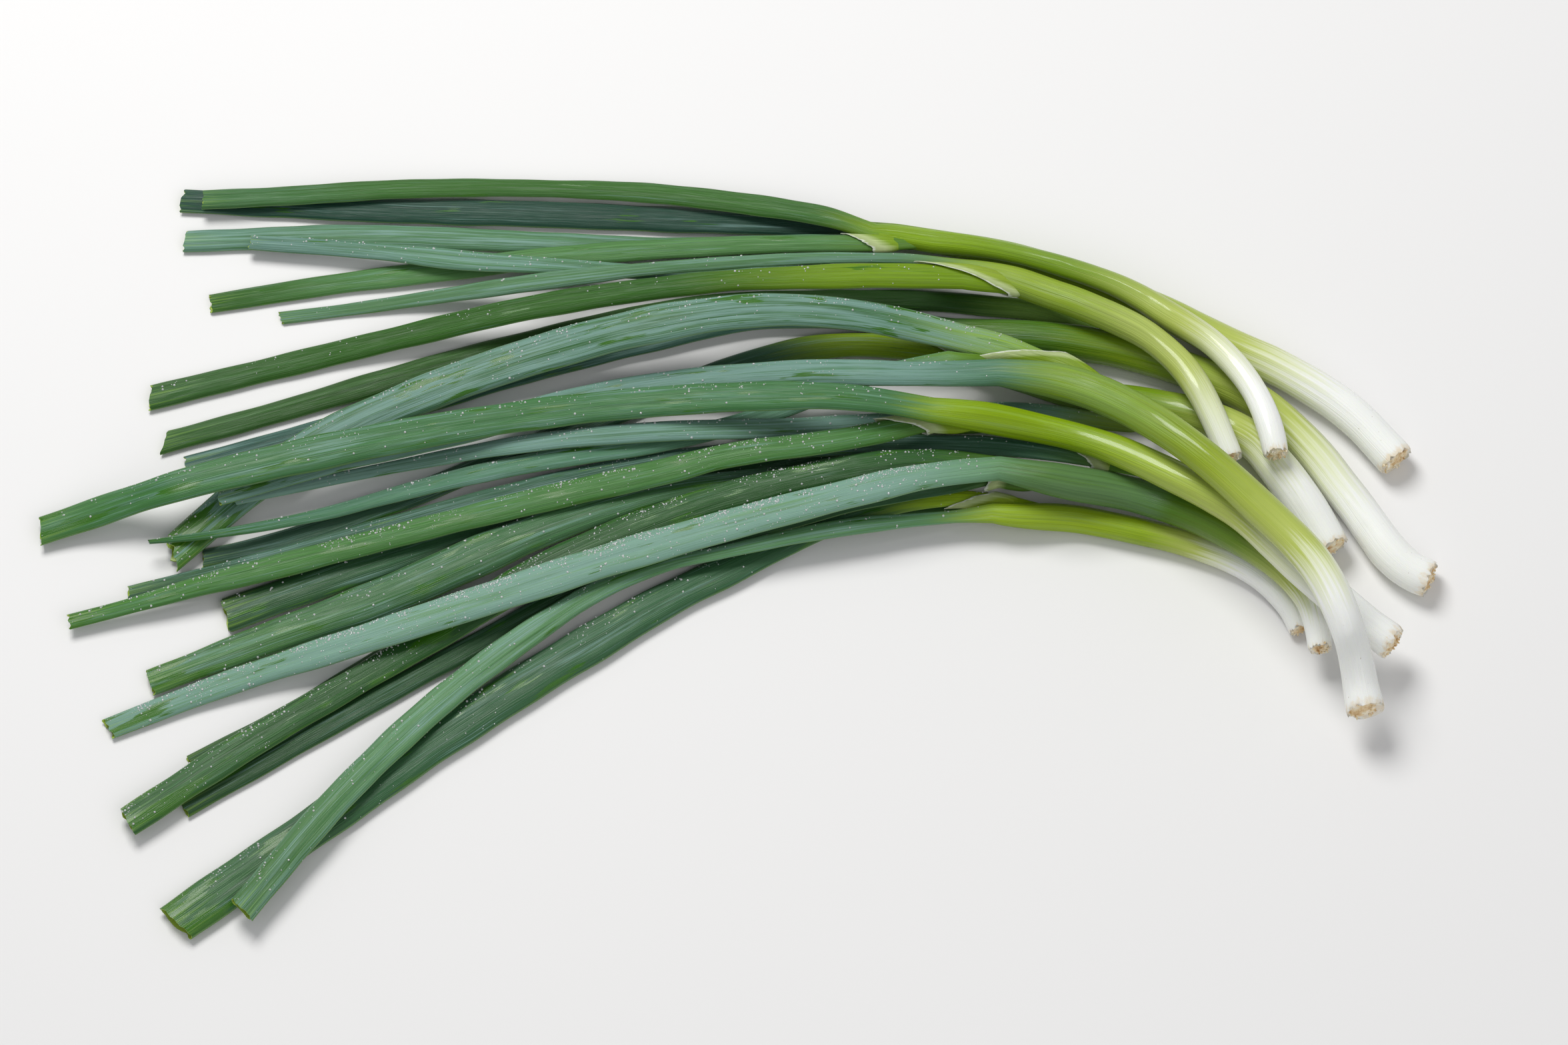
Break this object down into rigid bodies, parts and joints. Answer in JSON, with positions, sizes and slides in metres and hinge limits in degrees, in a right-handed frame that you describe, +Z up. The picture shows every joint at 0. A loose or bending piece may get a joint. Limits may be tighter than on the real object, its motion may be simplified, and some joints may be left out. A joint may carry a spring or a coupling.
{
  "type": "spring onion bunch",
  "caption": "Loose bunch of trimmed spring onions lying flat, white shafts with root plates at one end and fanned green leaves with cut tips at the other.",
  "frame": {"origin": "centre of the bunch's bounding box, on the surface that it lies on", "axes": "+X along the bunch towards the root ends; +Y across it; +Z up from the surface"},
  "size_m": [0.4174, 0.2493, 0.0374],
  "materials": {
    "shaft": "moist satin skin, white at the root end and yellow-green at the mouth",
    "root": "dry fibrous root plate with trimmed root stubs",
    "leaf_waxy": "blue-green leaf with a waxy bloom",
    "leaf_green": "mid green leaf, satin",
    "leaf_dark": "dark green leaf, satin",
    "leaf_pale": "pale yellow-green leaf, satin"
  },
  "bodies": {
    "root": {"shaft_a": "shaft", "shaft_b": "shaft", "shaft_c": "shaft", "shaft_e": "shaft", "shaft_f": "shaft", "shaft_g": "shaft", "shaft_h": "shaft", "shaft_i": "shaft", "shaft_k": "shaft", "root_plate_a": "root", "root_plate_b": "root", "root_plate_c": "root", "root_plate_e": "root", "root_plate_f": "root", "root_plate_g": "root", "root_plate_h": "root", "root_plate_i": "root", "root_plate_k": "root", "leaf_a1": "leaf_dark", "leaf_a2": "leaf_pale", "leaf_b1": "leaf_green", "leaf_b2": "leaf_green", "leaf_c1": "leaf_waxy", "leaf_c2": "leaf_green", "leaf_c3": "leaf_pale", "leaf_e1": "leaf_waxy", "leaf_e2": "leaf_dark", "leaf_f1": "leaf_dark", "leaf_f2": "leaf_green", "leaf_f3": "leaf_pale", "leaf_g1": "leaf_waxy", "leaf_g2": "leaf_waxy", "leaf_h1": "leaf_waxy", "leaf_h2": "leaf_green", "leaf_h3": "leaf_dark", "leaf_h4": "leaf_dark", "leaf_i1": "leaf_pale", "leaf_i2": "leaf_waxy", "leaf_i3": "leaf_dark", "leaf_i4": "leaf_dark", "leaf_k1": "leaf_pale", "leaf_k2": "leaf_waxy", "leaf_k3": "leaf_green"}
  },
  "joints": []
}
